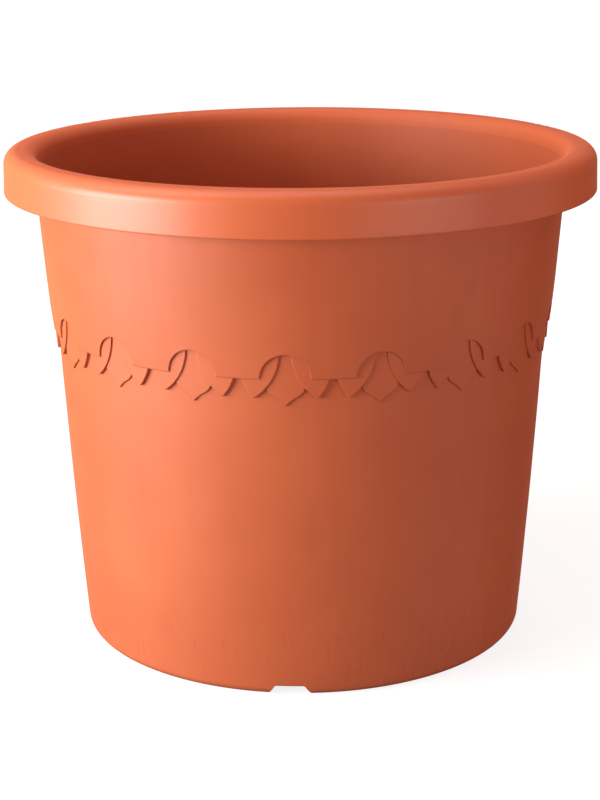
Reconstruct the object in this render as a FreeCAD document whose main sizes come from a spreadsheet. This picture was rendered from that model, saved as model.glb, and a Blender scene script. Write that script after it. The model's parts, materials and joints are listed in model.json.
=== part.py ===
import FreeCAD, Part
import math
import os
import Sketcher

# Round plant pot, moulded in one piece, with a lipped rim, a band of leaves and four drain plugs.
# Millimetres. +Z is up, the origin is on the floor under the pot's centre, and the front is -Y.

DOCUMENT_NAME = "plant_pot"

# Driving dimensions: name, size and what it measures
DIMENSIONS = [
    ("pot_height", 337.9, "floor to the top of the rim"),
    ("base_radius", 154.6, "outside of the wall at the floor, without its rounding"),
    ("wall_bulge", 7000.0, "radius of the lower wall's outward curve"),
    ("wall_bend_height", 185.0, "floor to the end of that curve, below the leaves"),
    ("wall_bend_radius", 166.8, "outside of the wall at that height"),
    ("band_radius", 168.5, "outside of the lower wall at the leaf band"),
    ("band_height", 217.9, "floor to the straight lower edge of the upper wall"),
    ("band_step", 3.1, "upper wall proud of the lower wall at that edge"),
    ("draw_in_height", 250.0, "floor to where the upper wall starts to draw in"),
    ("draw_in_radius", 174.8, "outside of the upper wall at that height"),
    ("draw_in_bend", 900.0, "radius of the drawn-in stretch"),
    ("neck_radius", 179.2, "outside of the upper wall under the rim"),
    ("wall", 3.2, "thickness of the wall"),
    ("inner_bend_height", 225.0, "floor to where the inside starts to follow the upper wall"),
    ("rim_radius", 200.0, "outside of the rim near its top"),
    ("rim_flare", 0.6, "extra radius of the rim at its lower edge"),
    ("rim_depth", 28.2, "top of the rim to its lower edge"),
    ("rim_wall", 3.2, "thickness of the rim"),
    ("mouth_radius", 177.8, "inside of the rim"),
    ("rim_outer_round", 8.9, "rounding of the rim's outer top edge"),
    ("rim_inner_round", 8.5, "rounding of the rim's inner top edge"),
    ("rim_edge_round", 0.8, "rounding of the rim's lower edge"),
    ("foot_round", 6.0, "rounding of the wall at the floor"),
    ("foot_flat", 2.5, "width of the ring that the pot stands on"),
    ("base_lift", 8.0, "floor to the underside of the base"),
    ("base_plate", 3.2, "thickness of the base"),
    ("base_fillet", 6.0, "rounding between the base and the wall, inside"),
    ("dome_rise", 6.0, "raised middle of the base above its outer part"),
    ("dome_radius", 64.0, "flat top of the raised middle"),
    ("dome_slope", 8.0, "width of the slope round the raised middle"),
    ("notch_count", 4.0, "drain notches round the foot"),
    ("notch_foot_width", 28.8, "drain notch at the floor"),
    ("notch_top_width", 19.6, "drain notch at its top"),
    ("notch_height", 7.0, "height of a drain notch"),
    ("notch_round", 1.0, "how far the rounding of a notch's top corners reaches"),
    ("drain_count", 4.0, "drain holes"),
    ("drain_circle", 105.0, "radius of the circle of drain holes"),
    ("drain_radius", 7.0, "radius of a drain hole"),
    ("plug_clearance", 0.15, "gap between a plug and its hole"),
    ("plug_head_radius", 11.0, "radius of a plug's head"),
    ("plug_head", 2.0, "thickness of a plug's head"),
    ("plug_head_round", 0.8, "rounding of a plug's head"),
    ("plug_reach", 3.0, "plug below the underside of the base"),
    ("plug_lead", 1.0, "chamfer at the end of a plug"),
    ("plug_wall", 1.6, "wall of the hollow plug"),
    ("tab_width", 14.0, "width of a plug's pull tab"),
    ("tab_height", 9.0, "height of a plug's pull tab above its head"),
    ("tab_thickness", 2.4, "thickness of a plug's pull tab"),
    ("leaf_count", 18.0, "leaf groups round the band"),
    ("arch_radius", 15.9, "radius of the arch over a leaf group"),
    ("side_leaf_rise", 2.2, "side leaves proud of the lower wall"),
    ("centre_leaf_rise", 1.2, "centre leaf proud of the lower wall"),
    ("side_leaf_parting", 3.6, "half the gap between two side leaves at the top of the arch"),
    ("side_leaf_tip_out", 19.8, "tip of a side leaf from the middle of its group"),
    ("side_leaf_tip_drop", 12.7, "tip of a side leaf below the edge of the upper wall"),
    ("side_leaf_out", 27.2, "outer edge of a side leaf from the middle of its group"),
    ("side_leaf_bend", 36.0, "radius of both edges of a side leaf"),
    ("centre_leaf_half", 12.6, "half the width of the centre leaf where the side leaves cover it"),
    ("centre_leaf_shoulder", 3.9, "that width below the edge of the upper wall"),
    ("centre_leaf_bend", 10.0, "radius of the centre leaf's full lower sides"),
    ("centre_leaf_turn_out", 7.5, "half the width where those sides turn in to the tip"),
    ("centre_leaf_turn_drop", 11.5, "that width below the edge of the upper wall"),
    ("centre_leaf_hollow", 24.0, "radius of the hollow edges at the centre leaf's tip"),
    ("centre_leaf_tip_drop", 17.6, "tip of the centre leaf below the edge of the upper wall"),
    ("leaf_cover", 3.0, "leaf hidden behind the upper wall"),
    ("leaf_root", 1.0, "leaf sunk in the wall that carries it"),
]

doc = FreeCAD.newDocument(DOCUMENT_NAME)
sheet = doc.addObject("Spreadsheet::Sheet", "dims")
for row, (name, size, meaning) in enumerate(DIMENSIONS, start=1):
    sheet.set(f"A{row}", meaning)
    sheet.set(f"B{row}", str(size))
    sheet.setAlias(f"B{row}", name)
doc.recompute()


def origin_feature(body, role):
    """The plane or axis of a body's origin with this role."""
    return next(item for item in body.Origin.OriginFeatures if item.Role == role)


def new_sketch(body, name, plane):
    """An empty sketch on one of the body's own origin planes."""
    sketch = body.newObject("Sketcher::SketchObject", name)
    sketch.AttachmentSupport = (origin_feature(body, plane), "")
    sketch.MapMode = "FlatFace"
    doc.recompute()
    return sketch


def bind(sketch, constraint, expression):
    """Add a dimension to a sketch and tie it to the sheet."""
    index = sketch.addConstraint(constraint)
    name = f"size_{index}"
    sketch.renameConstraint(index, name)
    sketch.setExpression(f"Constraints.{name}", expression)


def arc_between(start, end, bend):
    """The shorter arc between two points; a positive bend turns left on the way from start to end."""
    if bend < 0:
        return arc_between(end, start, -bend)
    chord = end - start
    right = FreeCAD.Vector(chord.y, -chord.x, 0).normalize()
    to_centre = math.sqrt(bend ** 2 - (chord.Length / 2) ** 2)
    middle = (start + end) / 2 + right * (bend - to_centre)
    return Part.ArcOfCircle(start, middle, end)


def draw_outline(sketch, corners):
    """
    A closed outline whose corners are tied to the sheet.
    A corner is (x, y) before a straight side, or (x, y, bend) before an arc.
    """
    points = [FreeCAD.Vector(sketch.evalExpression(c[0]), sketch.evalExpression(c[1]), 0) for c in corners]
    sides = []
    for index, corner in enumerate(corners):
        start = points[index]
        end = points[(index + 1) % len(points)]
        bend = sketch.evalExpression(corner[2]) if len(corner) == 3 else 0
        curve = arc_between(start, end, bend) if bend else Part.LineSegment(start, end)
        first, last = (2, 1) if bend < 0 else (1, 2)
        sides.append((sketch.addGeometry(curve), first, last))
    for index, corner in enumerate(corners):
        side, first, last = sides[index]
        after, after_first, _ = sides[(index + 1) % len(sides)]
        sketch.addConstraint(Sketcher.Constraint("Coincident", side, last, after, after_first))
        for axis, kind, value, place in ((-2, "DistanceX", corner[0], points[index].x),
                                         (-1, "DistanceY", corner[1], points[index].y)):
            if value == "0":
                sketch.addConstraint(Sketcher.Constraint("PointOnObject", side, first, axis))
            else:
                bind(sketch, Sketcher.Constraint(kind, -1, 1, side, first, place), value)
        if len(corner) == 3:
            radius = abs(sketch.evalExpression(corner[2]))
            bind(sketch, Sketcher.Constraint("Radius", side, radius), corner[2].lstrip("-"))


def revolve(body, sketch):
    """Turn a section once round the vertical axis of its sketch."""
    turned = body.newObject("PartDesign::Revolution", sketch.Name + "_turned")
    turned.Profile = sketch
    turned.ReferenceAxis = (sketch, ["V_Axis"])
    turned.Angle = 360
    doc.recompute()
    return turned


def pattern_round(body, feature, count):
    """Repeat a feature evenly round the vertical axis, as often as the sheet says."""
    pattern = body.newObject("PartDesign::PolarPattern", feature.Name + "_round")
    pattern.Originals = [feature]
    pattern.Axis = (origin_feature(body, "Z_Axis"), [""])
    pattern.Angle = 360
    pattern.setExpression("Occurrences", count)
    body.Tip = pattern
    doc.recompute()
    return pattern


def cut_through(body, sketch):
    """Cut a sketch's outline through everything on the side that it faces."""
    before = body.Shape.Volume
    pocket = body.newObject("PartDesign::Pocket", sketch.Name + "_cut")
    pocket.Profile = sketch
    pocket.Type = "ThroughAll"
    pocket.Reversed = True
    doc.recompute()
    if body.Shape.Volume >= before:
        raise RuntimeError(f"{pocket.Name} cuts nothing")
    return pocket


def taper_radius(height):
    """Radius on the straight line from the foot to the end of the wall's curve, as an expression."""
    rise = f"({height}) / dims.wall_bend_height"
    return f"(dims.base_radius + (dims.wall_bend_radius - dims.base_radius) * {rise})"


def band_wall_radius(height):
    """Outside radius of the straight lower wall behind the leaves, as an expression."""
    rise = f"(({height}) - dims.wall_bend_height) / (dims.band_height - dims.wall_bend_height)"
    return f"(dims.wall_bend_radius + (dims.band_radius - dims.wall_bend_radius) * {rise})"


LEAF_TOP = "dims.band_height + dims.arch_radius + dims.leaf_cover"
FIRST_DRAIN_ANGLE = 45
DRAIN_X = f"dims.drain_circle * cos({FIRST_DRAIN_ANGLE} deg)"
DRAIN_Y = f"dims.drain_circle * sin({FIRST_DRAIN_ANGLE} deg)"


def pot_section(sketch):
    """Half of the pot's section: the base, the foot ring, the wall with its step, and the hooked rim."""
    rim_low = "dims.pot_height - dims.rim_depth"
    rim_low_radius = "dims.rim_radius + dims.rim_flare"
    outer_turn = "dims.pot_height - dims.rim_outer_round"
    inner_turn = "dims.pot_height - dims.rim_inner_round"
    rim_roof = "dims.pot_height - dims.rim_wall"
    base_top = "dims.base_lift + dims.base_plate"
    dome_foot = "dims.dome_radius + dims.dome_slope"
    fillet_end = f"{base_top} + dims.base_fillet"
    inner_foot = f"{taper_radius(fillet_end)} - dims.wall"
    foot_outer = "dims.base_radius - dims.foot_round"
    foot_inner = f"{foot_outer} - dims.foot_flat"
    draw_outline(sketch, [
        ("0", "dims.base_lift + dims.dome_rise"),
        ("dims.dome_radius", "dims.base_lift + dims.dome_rise"),
        (dome_foot, "dims.base_lift"),
        (foot_inner, "dims.base_lift"),
        (foot_inner, "0"),
        (foot_outer, "0", "dims.foot_round"),
        (taper_radius("dims.foot_round"), "dims.foot_round", "dims.wall_bulge"),
        ("dims.wall_bend_radius", "dims.wall_bend_height"),
        ("dims.band_radius", "dims.band_height"),
        ("dims.band_radius + dims.band_step", "dims.band_height", "dims.draw_in_bend"),
        ("dims.draw_in_radius", "dims.draw_in_height"),
        ("dims.neck_radius", rim_low),
        ("dims.mouth_radius + dims.rim_wall", inner_turn, "-(dims.rim_inner_round - dims.rim_wall)"),
        ("dims.mouth_radius + dims.rim_inner_round", rim_roof),
        ("dims.rim_radius - dims.rim_outer_round", rim_roof, "-(dims.rim_outer_round - dims.rim_wall)"),
        ("dims.rim_radius - dims.rim_wall", outer_turn),
        (f"{rim_low_radius} - dims.rim_wall", rim_low),
        (f"{rim_low_radius} - dims.rim_edge_round", rim_low, "dims.rim_edge_round"),
        (rim_low_radius, f"{rim_low} + dims.rim_edge_round"),
        ("dims.rim_radius", outer_turn, "dims.rim_outer_round"),
        ("dims.rim_radius - dims.rim_outer_round", "dims.pot_height"),
        ("dims.mouth_radius + dims.rim_inner_round", "dims.pot_height", "dims.rim_inner_round"),
        ("dims.mouth_radius", inner_turn),
        ("dims.neck_radius - dims.wall", rim_low),
        ("dims.draw_in_radius - dims.wall", "dims.draw_in_height"),
        (f"{band_wall_radius('dims.inner_bend_height')} - dims.wall", "dims.inner_bend_height"),
        ("dims.wall_bend_radius - dims.wall", "dims.wall_bend_height", "-dims.wall_bulge"),
        (inner_foot, fillet_end, "-dims.base_fillet"),
        (f"{inner_foot} - dims.base_fillet", base_top),
        (dome_foot, base_top),
        ("dims.dome_radius", f"{base_top} + dims.dome_rise"),
        ("0", f"{base_top} + dims.dome_rise"),
    ])


def make_pot_blank():
    """The pot without its leaves: turned section, drain notches and drain holes."""
    body = doc.addObject("PartDesign::Body", "pot_blank")
    section = new_sketch(body, "pot_section", "XZ_Plane")
    pot_section(section)
    revolve(body, section)

    notch = new_sketch(body, "notch", "XZ_Plane")
    corner_start = "dims.notch_height - dims.notch_round"
    corner_bend = "2 * dims.notch_round"
    draw_outline(notch, [
        ("-dims.notch_foot_width / 2", "0"),
        ("dims.notch_foot_width / 2", "0"),
        ("dims.notch_top_width / 2 + dims.notch_round / 2", corner_start, corner_bend),
        ("dims.notch_top_width / 2 - dims.notch_round", "dims.notch_height"),
        ("-(dims.notch_top_width / 2 - dims.notch_round)", "dims.notch_height", corner_bend),
        ("-(dims.notch_top_width / 2 + dims.notch_round / 2)", corner_start),
    ])
    pattern_round(body, cut_through(body, notch), "dims.notch_count")

    drain = new_sketch(body, "drain", "XY_Plane")
    hole = drain.addGeometry(Part.Circle(FreeCAD.Vector(), FreeCAD.Vector(0, 0, 1), sheet.drain_radius))
    across = drain.evalExpression(DRAIN_X)
    along = drain.evalExpression(DRAIN_Y)
    bind(drain, Sketcher.Constraint("Radius", hole, sheet.drain_radius), "dims.drain_radius")
    bind(drain, Sketcher.Constraint("DistanceX", -1, 1, hole, 3, across), DRAIN_X)
    bind(drain, Sketcher.Constraint("DistanceY", -1, 1, hole, 3, along), DRAIN_Y)
    pattern_round(body, cut_through(body, drain), "dims.drain_count")
    return body


def make_stencil(name, outlines):
    """Outlines drawn on the front, driven outwards through the wall and repeated round the leaf band."""
    body = doc.addObject("PartDesign::Body", name)
    sketch = new_sketch(body, name + "_outline", "XZ_Plane")
    sketch.setExpression("AttachmentOffset.Base.z", "dims.band_radius - 2 * dims.wall")
    for corners in outlines:
        draw_outline(sketch, corners)
    pad = body.newObject("PartDesign::Pad", name + "_pad")
    pad.Profile = sketch
    pad.setExpression("Length", "2 * dims.wall + dims.rim_radius - dims.band_radius")
    doc.recompute()
    pattern_round(body, pad, "dims.leaf_count")
    return body


def wall_cone(name, rise):
    """A solid cone with the outside of the straight lower wall, made larger by the rise."""
    cone = doc.addObject("Part::Cone", name)
    cone.setExpression("Placement.Base.z", "dims.wall_bend_height")
    cone.setExpression("Radius1", f"dims.wall_bend_radius + ({rise})")
    cone.setExpression("Radius2", f"{band_wall_radius(LEAF_TOP)} + ({rise})")
    cone.setExpression("Height", f"{LEAF_TOP} - dims.wall_bend_height")
    return cone


def combine(kind, name, base, tool):
    """A boolean of two objects."""
    result = doc.addObject(f"Part::{kind}", name)
    result.Base = base
    result.Tool = tool
    return result


def leaf_layer(name, stencil, rise):
    """The leaves of one stencil, standing proud of the lower wall and rooted in it."""
    outside = wall_cone(name + "_face", rise)
    inside = wall_cone(name + "_root", "-dims.leaf_root")
    shell = combine("Cut", name + "_shell", outside, inside)
    return combine("Common", name, stencil, shell)


def mirrored(corners):
    """An outline of straight sides and arcs, mirrored left to right and still drawn the same way round."""
    flipped = []
    for index in range(len(corners), 0, -1):
        corner = corners[index % len(corners)]
        before = corners[index - 1]
        flipped.append((f"-({corner[0]})", corner[1]) + tuple(before[2:]))
    return flipped


def make_pot_shell():
    """The whole pot: arches cut in the upper wall, two side leaves and a centre leaf under each."""
    band = "dims.band_height"
    arch_top = "dims.band_height + dims.arch_radius"
    arch_stencil = make_stencil("arch_stencil", [[
        ("-dims.arch_radius", f"{band} - dims.leaf_cover"),
        ("dims.arch_radius", f"{band} - dims.leaf_cover"),
        ("dims.arch_radius", band, "dims.arch_radius"),
        ("0", arch_top, "dims.arch_radius"),
        ("-dims.arch_radius", band),
    ]])
    side_leaf = [
        ("dims.side_leaf_tip_out", f"{band} - dims.side_leaf_tip_drop", "dims.side_leaf_bend"),
        ("dims.side_leaf_out", band),
        ("dims.side_leaf_out", LEAF_TOP),
        ("dims.side_leaf_parting", LEAF_TOP),
        ("dims.side_leaf_parting", arch_top, "dims.side_leaf_bend"),
    ]
    side_stencil = make_stencil("side_leaf_stencil", [side_leaf, mirrored(side_leaf)])
    covered = "dims.arch_radius + dims.leaf_cover"
    shoulder = f"{band} - dims.centre_leaf_shoulder"
    turn = f"{band} - dims.centre_leaf_turn_drop"
    centre_stencil = make_stencil("centre_leaf_stencil", [[
        ("0", f"{band} - dims.centre_leaf_tip_drop", "-dims.centre_leaf_hollow"),
        ("dims.centre_leaf_turn_out", turn, "dims.centre_leaf_bend"),
        ("dims.centre_leaf_half", shoulder),
        (covered, band),
        (covered, LEAF_TOP),
        (f"-({covered})", LEAF_TOP),
        (f"-({covered})", band),
        ("-dims.centre_leaf_half", shoulder, "dims.centre_leaf_bend"),
        ("-dims.centre_leaf_turn_out", turn, "-dims.centre_leaf_hollow"),
    ]])

    arches = combine("Cut", "arches", arch_stencil, wall_cone("arch_floor", "0"))
    arched_blank = combine("Cut", "arched_blank", make_pot_blank(), arches)
    shell = doc.addObject("Part::MultiFuse", "pot_shell")
    shell.Shapes = [
        arched_blank,
        leaf_layer("side_leaves", side_stencil, "dims.side_leaf_rise"),
        leaf_layer("centre_leaves", centre_stencil, "dims.centre_leaf_rise"),
    ]
    return shell


def make_drain_plug(number):
    """A hollow push-in plug: its head rests on the base inside the pot, its shank fills a drain hole."""
    body = doc.addObject("PartDesign::Body", f"drain_plug_{number}")
    shank = "dims.drain_radius - dims.plug_clearance"
    bore = f"{shank} - dims.plug_wall"
    end = "-(dims.base_plate + dims.plug_reach)"
    section = new_sketch(body, f"plug_section_{number}", "XZ_Plane")
    draw_outline(section, [
        ("0", "0"),
        (bore, "0"),
        (bore, end),
        (f"{shank} - dims.plug_lead", end),
        (shank, f"{end} + dims.plug_lead"),
        (shank, "0"),
        ("dims.plug_head_radius", "0"),
        ("dims.plug_head_radius", "dims.plug_head - dims.plug_head_round", "dims.plug_head_round"),
        ("dims.plug_head_radius - dims.plug_head_round", "dims.plug_head"),
        ("0", "dims.plug_head"),
    ])
    revolve(body, section)

    tab = new_sketch(body, f"tab_outline_{number}", "XZ_Plane")
    tab_top = "dims.plug_head + dims.tab_height"
    tab_turn = f"{tab_top} - dims.tab_width / 2"
    draw_outline(tab, [
        ("-dims.tab_width / 2", "dims.plug_head / 2"),
        ("dims.tab_width / 2", "dims.plug_head / 2"),
        ("dims.tab_width / 2", tab_turn, "dims.tab_width / 2"),
        ("0", tab_top, "dims.tab_width / 2"),
        ("-dims.tab_width / 2", tab_turn),
    ])
    pull_tab = body.newObject("PartDesign::Pad", f"pull_tab_{number}")
    pull_tab.Profile = tab
    pull_tab.Midplane = True
    pull_tab.setExpression("Length", "dims.tab_thickness")
    turn = (number - 1) * 360 / sheet.drain_count
    body.Placement.Rotation = FreeCAD.Rotation(FreeCAD.Vector(0, 0, 1), FIRST_DRAIN_ANGLE + turn)
    body.setExpression("Placement.Base.x", f"dims.drain_circle * cos({FIRST_DRAIN_ANGLE + turn} deg)")
    body.setExpression("Placement.Base.y", f"dims.drain_circle * sin({FIRST_DRAIN_ANGLE + turn} deg)")
    body.setExpression("Placement.Base.z", "dims.base_lift + dims.base_plate")
    return body


sub_parts = [make_pot_shell()]
for plug_number in range(1, int(sheet.drain_count) + 1):
    sub_parts.append(make_drain_plug(plug_number))
doc.recompute()

for item in doc.Objects:
    if "Invalid" in item.State or "Error" in item.State:
        raise RuntimeError(f"{item.Name} failed: {item.State}")
for part in sub_parts:
    if part.Shape.isNull() or not part.Shape.isValid():
        raise RuntimeError(f"{part.Label} has no valid shape")

os.makedirs("parts", exist_ok=True)
for part in sub_parts:
    part.Shape.exportStep(f"parts/{part.Label}.step")
    print(part.Label, len(part.Shape.Solids), "solid(s)", round(part.Shape.Volume), "mm3")
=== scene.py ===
"""Looks of the round plant pot: plastic materials, floor, studio light and the photograph's camera."""

import json
import math

import bpy
from mathutils import Matrix, Vector


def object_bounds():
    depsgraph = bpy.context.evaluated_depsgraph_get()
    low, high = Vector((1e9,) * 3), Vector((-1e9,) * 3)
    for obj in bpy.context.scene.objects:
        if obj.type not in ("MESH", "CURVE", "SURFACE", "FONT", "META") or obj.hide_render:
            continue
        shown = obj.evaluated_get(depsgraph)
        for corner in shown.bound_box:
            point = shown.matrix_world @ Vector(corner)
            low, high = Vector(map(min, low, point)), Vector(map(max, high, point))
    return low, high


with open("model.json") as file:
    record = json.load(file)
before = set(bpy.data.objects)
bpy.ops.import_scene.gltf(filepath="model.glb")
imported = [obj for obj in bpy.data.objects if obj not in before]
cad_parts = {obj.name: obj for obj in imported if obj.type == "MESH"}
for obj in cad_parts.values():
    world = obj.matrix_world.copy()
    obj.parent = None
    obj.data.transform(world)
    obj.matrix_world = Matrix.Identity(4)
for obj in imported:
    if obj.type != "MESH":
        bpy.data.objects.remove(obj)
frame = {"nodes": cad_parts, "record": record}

CAD_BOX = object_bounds()

# Camera: distance from the pot's axis and height in metres, turn round the pot, dip and roll in degrees,
# lens and sensor in millimetres, sideways shift as a share of the picture's longer side
CAMERA_REACH = 1.2497
CAMERA_HEIGHT = 0.5173
CAMERA_TURN = 3.38
CAMERA_DIP = 16.145
CAMERA_ROLL = -0.391
CAMERA_LENS = 82.76
CAMERA_SHIFT = -0.0025
SENSOR_WIDTH = 36

# Lamps: turn round the pot from its front and rise above the horizon in degrees, distance from the pot's
# middle and size in metres, power in watts
COOL_LIGHT = (0.87, 1.00, 1.00)
WARM_LIGHT = (1.00, 0.77, 0.71)
LAMPS = {
    "key_softbox": {
        "turn": -63, "rise": 9, "reach": 1.2, "size": (0.98, 0.45), "power": 27.5, "colour": COOL_LIGHT},
    "high_softbox": {
        "turn": -72, "rise": 55, "reach": 1.6, "size": (0.8, 0.8), "power": 10, "colour": COOL_LIGHT},
    "top_softbox": {
        "turn": 0, "rise": 89, "reach": 1.6, "size": (1.0, 1.0), "power": 7, "colour": WARM_LIGHT},
    "fill_softbox": {
        "turn": 46, "rise": 9, "reach": 1.2, "size": (0.75, 0.38), "power": 4.1, "colour": WARM_LIGHT},
    "back_softbox": {
        "turn": 180, "rise": 45, "reach": 1.6, "size": (0.8, 0.8), "power": 5, "colour": WARM_LIGHT},
}
AMBIENT_COLOUR = WARM_LIGHT
AMBIENT_STRENGTH = 0.15
BACKGROUND_STRENGTH = 1.0
WHITE = (1.0, 1.0, 1.0)

# Floor, sizes in metres: the lamps' light is added to a white glow, which is off below the pot and a little
# weaker round it, so that the pot's shadow shows
FLOOR_SIZE = 14.0
FLOOR_COLOUR = (0.30, 0.30, 0.30)
FLOOR_BOUNCE = (0.12, 0.12, 0.12)
FLOOR_GLOW = 0.84
FLOOR_GLOW_STARTS = (0.118, 0.136)
FLOOR_GLOW_GROWS = (0.45, 0.9)

# Pot colours, in linear light
POT_COLOUR = (0.530, 0.091, 0.0255)
POT_PALE = (0.575, 0.109, 0.0330)
POT_DEEP = (0.440, 0.065, 0.0165)
# Painted light: the rim colour and its share make the rim band and the rim top paler, standing in for light
# from above
POT_RIM_PAINTED_LIGHT = (0.640, 0.114, 0.0325)
RIM_PAINTED_LIGHT_SHARE = 0.8

# Zones of the pot, in metres: the rim by radius, its top and the draw marks by height, and the inside by
# how far a face looks towards the axis, which is its normal times its place from the axis
POT_RADIUS = CAD_BOX[1].x
POT_HEIGHT = CAD_BOX[1].z
RIM_STARTS = (POT_RADIUS - 0.0186, POT_RADIUS - 0.0136)
RIM_TOP_STARTS = (POT_HEIGHT - 0.0111, POT_HEIGHT - 0.0097)
DRAW_MARKS_END = (0.02, 0.07)
INSIDE_SPAN = (-0.12, -0.06)

# Patterns in the pot's plastic: repeats per metre, the span of each noise that shows and its share of
# the colour
CLOUD_REPEATS = 9.0
CLOUD_SPAN = (0.35, 0.70)
STREAK_REPEATS = {"across": 230.0, "along": 5.0}
STREAK_SPAN = (0.50, 0.78)
STREAK_SHARE = 0.07
MARK_REPEATS = {"across": 420.0, "along": 40.0}
MARK_SPAN = (0.60, 0.70)
MARK_SHARE = 0.45
GRAIN_REPEATS = 1500.0
GRAIN_SPAN = (0.55, 0.80)
GRAIN_SHARE = 0.10
NOISE_ROUGHNESS = 0.55
FINE_DETAIL = 3.0
PLAIN_DETAIL = 2.0

# Gloss of the pot: roughness from the smoothest to the dullest spots, and duller at a glancing view
POT_IOR = 1.49
WALL_ROUGHNESS = (0.50, 0.56)
RIM_ROUGHNESS = (0.40, 0.46)
INSIDE_ROUGHNESS = 0.64
GLANCING_ROUGHNESS = 0.9
GLANCING_SPAN = (0.25, 0.75)
GLANCING_BLEND = 0.5
GLOSS_SPAN = (0.30, 0.70)

# Relief of the pot's surface, in metres: rounded edges, a slow swell of the wall, streaks and grain
EDGE_ROUND = 0.0011
EDGE_SAMPLES = 6
SWELL_REPEATS = 14.0
SWELL_DETAIL = 1.0
SWELL_HEIGHT = 0.0005
STREAK_HEIGHT = 0.00002
GRAIN_HEIGHT = 0.00003

# Plug plastic: softer and darker
PLUG_COLOUR = (0.430, 0.066, 0.024)
PLUG_PALE = (0.480, 0.084, 0.034)
PLUG_ROUGHNESS = (0.55, 0.66)
MOTTLE_REPEATS = 160.0
MOTTLE_HEIGHT = 0.0001
PLUG_GRAIN_REPEATS = 2200.0
PLUG_GRAIN_HEIGHT = 0.00005


class Shading:
    """A material and short ways to add nodes to it."""

    def __init__(self, name):
        self.material = bpy.data.materials.new(name)
        self.material.use_nodes = True
        self.tree = self.material.node_tree
        self.shader = self.tree.nodes["Principled BSDF"]

    def add(self, kind, inputs=None, **settings):
        """A new node; each input is a value or the output of another node."""
        made = self.tree.nodes.new(kind)
        for name, value in settings.items():
            setattr(made, name, value)
        for name, value in (inputs or {}).items():
            self.feed(made.inputs[name], value)
        return made

    def feed(self, socket, value):
        """Link an input to another node's output, or set its value."""
        if isinstance(value, bpy.types.NodeSocket):
            self.tree.links.new(value, socket)
        else:
            socket.default_value = value

    def place(self):
        """Points of the piece in its own frame, in metres."""
        return self.add("ShaderNodeTexCoord").outputs["Object"]

    def stretched(self, across, along):
        """The piece's points, scaled across the pot and along its axis."""
        inputs = {0: self.place(), 1: (across, across, along)}
        return self.add("ShaderNodeVectorMath", inputs, operation="MULTIPLY").outputs[0]

    def noise(self, points, detail, repeats=1.0):
        """A soft random pattern, from 0 to 1."""
        inputs = {"Vector": points, "Scale": repeats, "Detail": detail, "Roughness": NOISE_ROUGHNESS}
        return self.add("ShaderNodeTexNoise", inputs).outputs["Fac"]

    def ramp(self, value, source, target=(0.0, 1.0)):
        """A value taken smoothly from one span to another."""
        inputs = {
            "Value": value,
            "From Min": source[0],
            "From Max": source[1],
            "To Min": target[0],
            "To Max": target[1],
        }
        return self.add("ShaderNodeMapRange", inputs, interpolation_type="SMOOTHSTEP").outputs["Result"]

    def times(self, first, second):
        return self.add("ShaderNodeMath", {0: first, 1: second}, operation="MULTIPLY").outputs[0]

    def larger(self, first, second):
        return self.add("ShaderNodeMath", {0: first, 1: second}, operation="MAXIMUM").outputs[0]

    def blend(self, share, first, second):
        """A colour between two colours, by the mix node's sockets for colours."""
        return self.add("ShaderNodeMix", {0: share, 6: first, 7: second}, data_type="RGBA").outputs[2]

    def between(self, share, first, second):
        """A number between two numbers, by the mix node's sockets for numbers."""
        return self.add("ShaderNodeMix", {0: share, 2: first, 3: second}, data_type="FLOAT").outputs[0]

    def bump(self, height, distance, normal=None):
        """A normal tilted by a pattern of this height, on top of another normal."""
        inputs = {"Height": height, "Distance": distance, "Strength": 1.0}
        if normal is not None:
            inputs["Normal"] = normal
        return self.add("ShaderNodeBump", inputs).outputs["Normal"]


def opaque(colour):
    return (*colour, 1.0)


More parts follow.
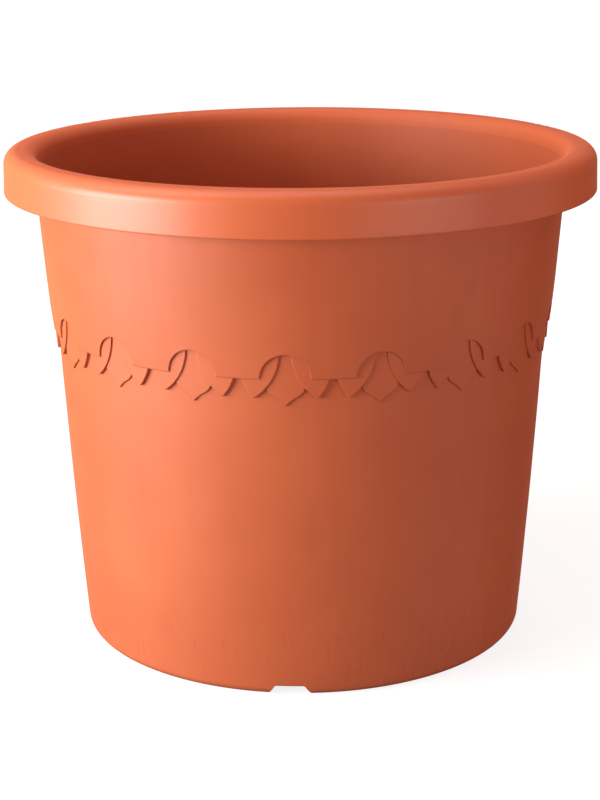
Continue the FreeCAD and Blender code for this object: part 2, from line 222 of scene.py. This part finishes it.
def pot_plastic():
    """Satin terracotta plastic with mould streaks, draw marks, grain, painted light that makes the rim and
    its top paler, and a duller inside.
    """
    look = Shading("pot_plastic")
    place = look.place()
    axes = look.add("ShaderNodeSeparateXYZ", {"Vector": place}).outputs
    flat = look.add("ShaderNodeCombineXYZ", {"X": axes["X"], "Y": axes["Y"]}).outputs["Vector"]
    radius = look.add("ShaderNodeVectorMath", {0: flat}, operation="LENGTH").outputs["Value"]
    rim = look.larger(look.ramp(radius, RIM_STARTS), look.ramp(axes["Z"], RIM_TOP_STARTS))
    low = look.ramp(axes["Z"], DRAW_MARKS_END, (1.0, 0.0))

    clouds = look.noise(place, FINE_DETAIL, CLOUD_REPEATS)
    streaks = look.noise(look.stretched(**STREAK_REPEATS), FINE_DETAIL)
    marks = look.ramp(look.noise(look.stretched(**MARK_REPEATS), PLAIN_DETAIL), MARK_SPAN)
    grain = look.noise(place, PLAIN_DETAIL, GRAIN_REPEATS)

    deep = opaque(POT_DEEP)
    colour = look.blend(look.ramp(clouds, CLOUD_SPAN), opaque(POT_COLOUR), opaque(POT_PALE))
    # painted light: the rim and its top are blended towards a paler colour where light from above would
    # brighten them
    colour = look.blend(look.times(rim, RIM_PAINTED_LIGHT_SHARE), colour, opaque(POT_RIM_PAINTED_LIGHT))
    colour = look.blend(look.ramp(streaks, STREAK_SPAN, (0.0, STREAK_SHARE)), colour, deep)
    colour = look.blend(look.times(look.times(marks, low), MARK_SHARE), colour, deep)
    colour = look.blend(look.ramp(grain, GRAIN_SPAN, (0.0, GRAIN_SHARE)), colour, deep)
    look.feed(look.shader.inputs["Base Color"], colour)

    face = look.add("ShaderNodeTexCoord").outputs["Normal"]
    outward = look.add("ShaderNodeVectorMath", {0: face, 1: flat}, operation="DOT_PRODUCT").outputs["Value"]
    inside = look.ramp(outward, INSIDE_SPAN, (1.0, 0.0))
    facing = look.add("ShaderNodeLayerWeight", {"Blend": GLANCING_BLEND}).outputs["Facing"]
    glancing = look.ramp(facing, GLANCING_SPAN)
    wall_gloss = look.ramp(streaks, GLOSS_SPAN, WALL_ROUGHNESS)
    rim_gloss = look.ramp(clouds, GLOSS_SPAN, RIM_ROUGHNESS)
    roughness = look.between(rim, wall_gloss, rim_gloss)
    roughness = look.between(inside, roughness, INSIDE_ROUGHNESS)
    roughness = look.between(glancing, roughness, GLANCING_ROUGHNESS)
    look.feed(look.shader.inputs["Roughness"], roughness)

    edges = look.add("ShaderNodeBevel", {"Radius": EDGE_ROUND}, samples=EDGE_SAMPLES).outputs["Normal"]
    swell = look.noise(place, SWELL_DETAIL, SWELL_REPEATS)
    normal = look.bump(swell, SWELL_HEIGHT, edges)
    normal = look.bump(streaks, STREAK_HEIGHT, normal)
    normal = look.bump(grain, GRAIN_HEIGHT, normal)
    look.feed(look.shader.inputs["Normal"], normal)
    look.shader.inputs["IOR"].default_value = POT_IOR
    return look.material


def plug_plastic():
    """Soft matte plastic of the drain plugs, a little mottled."""
    look = Shading("plug_plastic")
    place = look.place()
    mottle = look.noise(place, FINE_DETAIL, MOTTLE_REPEATS)
    grain = look.noise(place, PLAIN_DETAIL, PLUG_GRAIN_REPEATS)
    colour = look.blend(look.ramp(mottle, CLOUD_SPAN), opaque(PLUG_COLOUR), opaque(PLUG_PALE))
    look.feed(look.shader.inputs["Base Color"], colour)
    look.feed(look.shader.inputs["Roughness"], look.ramp(mottle, GLOSS_SPAN, PLUG_ROUGHNESS))
    normal = look.bump(mottle, MOTTLE_HEIGHT)
    normal = look.bump(grain, PLUG_GRAIN_HEIGHT, normal)
    look.feed(look.shader.inputs["Normal"], normal)
    look.shader.inputs["IOR"].default_value = POT_IOR
    return look.material


def dress(node, material):
    """Give a CAD piece its one material."""
    mesh = frame["nodes"][node].data
    mesh.materials.clear()
    mesh.materials.append(material)


def background_share(tree):
    """1 on rays that show the background: from the camera, off gloss or through glass."""
    path = tree.nodes.new("ShaderNodeLightPath")
    share = path.outputs["Is Camera Ray"]
    for ray in ("Is Glossy Ray", "Is Transmission Ray"):
        either = tree.nodes.new("ShaderNodeMath")
        either.operation = "MAXIMUM"
        tree.links.new(share, either.inputs[0])
        tree.links.new(path.outputs[ray], either.inputs[1])
        share = either.outputs[0]
    return share


def floor_paint():
    """Pale floor that shows as white in the light, keeps the pot's soft shadow and is clear from below."""
    look = Shading("floor_paint")
    shown = background_share(look.tree)
    colour = look.blend(shown, opaque(FLOOR_BOUNCE), opaque(FLOOR_COLOUR))
    look.feed(look.shader.inputs["Base Color"], colour)
    look.shader.inputs["Roughness"].default_value = 1.0
    look.shader.inputs["Specular IOR Level"].default_value = 0.0
    away = look.add("ShaderNodeVectorMath", {0: look.place()}, operation="LENGTH").outputs["Value"]
    lit = look.times(shown, look.ramp(away, FLOOR_GLOW_STARTS))
    glow = look.ramp(away, FLOOR_GLOW_GROWS, (FLOOR_GLOW, BACKGROUND_STRENGTH))
    look.shader.inputs["Emission Color"].default_value = opaque(WHITE)
    look.feed(look.shader.inputs["Emission Strength"], look.times(lit, glow))
    below = look.add("ShaderNodeNewGeometry").outputs["Backfacing"]
    window = look.add("ShaderNodeBsdfTransparent").outputs[0]
    paint = look.add("ShaderNodeMixShader", {0: below, 1: look.shader.outputs[0], 2: window}).outputs[0]
    look.feed(look.tree.nodes["Material Output"].inputs["Surface"], paint)
    return look.material


def make_floor():
    half = FLOOR_SIZE / 2
    corners = [(-half, -half, 0), (half, -half, 0), (half, half, 0), (-half, half, 0)]
    mesh = bpy.data.meshes.new("floor")
    mesh.from_pydata(corners, [], [(0, 1, 2, 3)])
    mesh.materials.append(floor_paint())
    floor = bpy.data.objects.new("floor", mesh)
    bpy.context.scene.collection.objects.link(floor)


def make_lamp(name, turn, rise, reach, size, power, colour):
    """A softbox that faces the middle of the pot."""
    light = bpy.data.lights.new(name, "AREA")
    light.shape = "RECTANGLE"
    light.size, light.size_y = size
    light.energy = power
    light.color = colour
    lamp = bpy.data.objects.new(name, light)
    bpy.context.scene.collection.objects.link(lamp)
    low, high = CAD_BOX
    side = math.radians(turn)
    up = math.radians(rise)
    away = Vector((math.sin(side) * math.cos(up), -math.cos(side) * math.cos(up), math.sin(up)))
    lamp.location = (low + high) / 2 + away * reach
    lamp.rotation_mode = "QUATERNION"
    lamp.rotation_quaternion = away.to_track_quat("Z", "Y")


def make_world():
    """Even weak light from all round, with a white background."""
    world = bpy.data.worlds.new("studio")
    world.use_nodes = True
    tree = world.node_tree
    ambient = tree.nodes["Background"]
    ambient.inputs["Color"].default_value = opaque(AMBIENT_COLOUR)
    ambient.inputs["Strength"].default_value = AMBIENT_STRENGTH
    white = tree.nodes.new("ShaderNodeBackground")
    white.inputs["Color"].default_value = opaque(WHITE)
    white.inputs["Strength"].default_value = BACKGROUND_STRENGTH
    mix = tree.nodes.new("ShaderNodeMixShader")
    tree.links.new(background_share(tree), mix.inputs[0])
    tree.links.new(ambient.outputs[0], mix.inputs[1])
    tree.links.new(white.outputs[0], mix.inputs[2])
    tree.links.new(mix.outputs[0], tree.nodes["World Output"].inputs["Surface"])
    bpy.context.scene.world = world


def make_camera():
    """The camera that was fitted to the photograph."""
    data = bpy.data.cameras.new("camera")
    data.lens = CAMERA_LENS
    data.sensor_width = SENSOR_WIDTH
    data.shift_x = CAMERA_SHIFT
    camera = bpy.data.objects.new("camera", data)
    bpy.context.scene.collection.objects.link(camera)
    turn = Matrix.Rotation(math.radians(CAMERA_TURN), 4, "Z")
    place = Matrix.Translation((0, -CAMERA_REACH, CAMERA_HEIGHT))
    dip = Matrix.Rotation(math.radians(90 - CAMERA_DIP), 4, "X")
    roll = Matrix.Rotation(math.radians(CAMERA_ROLL), 4, "Z")
    camera.matrix_world = turn @ place @ dip @ roll
    bpy.context.scene.camera = camera


MATERIALS = {"pot_plastic": pot_plastic(), "plug_plastic": plug_plastic()}
for part in frame["record"]["subparts"]:
    dress(part["node"], MATERIALS[part["material_slot"]])

make_floor()
for lamp_name, lamp_settings in LAMPS.items():
    make_lamp(lamp_name, **lamp_settings)
make_world()
make_camera()
bpy.context.scene.view_settings.view_transform = "Standard"
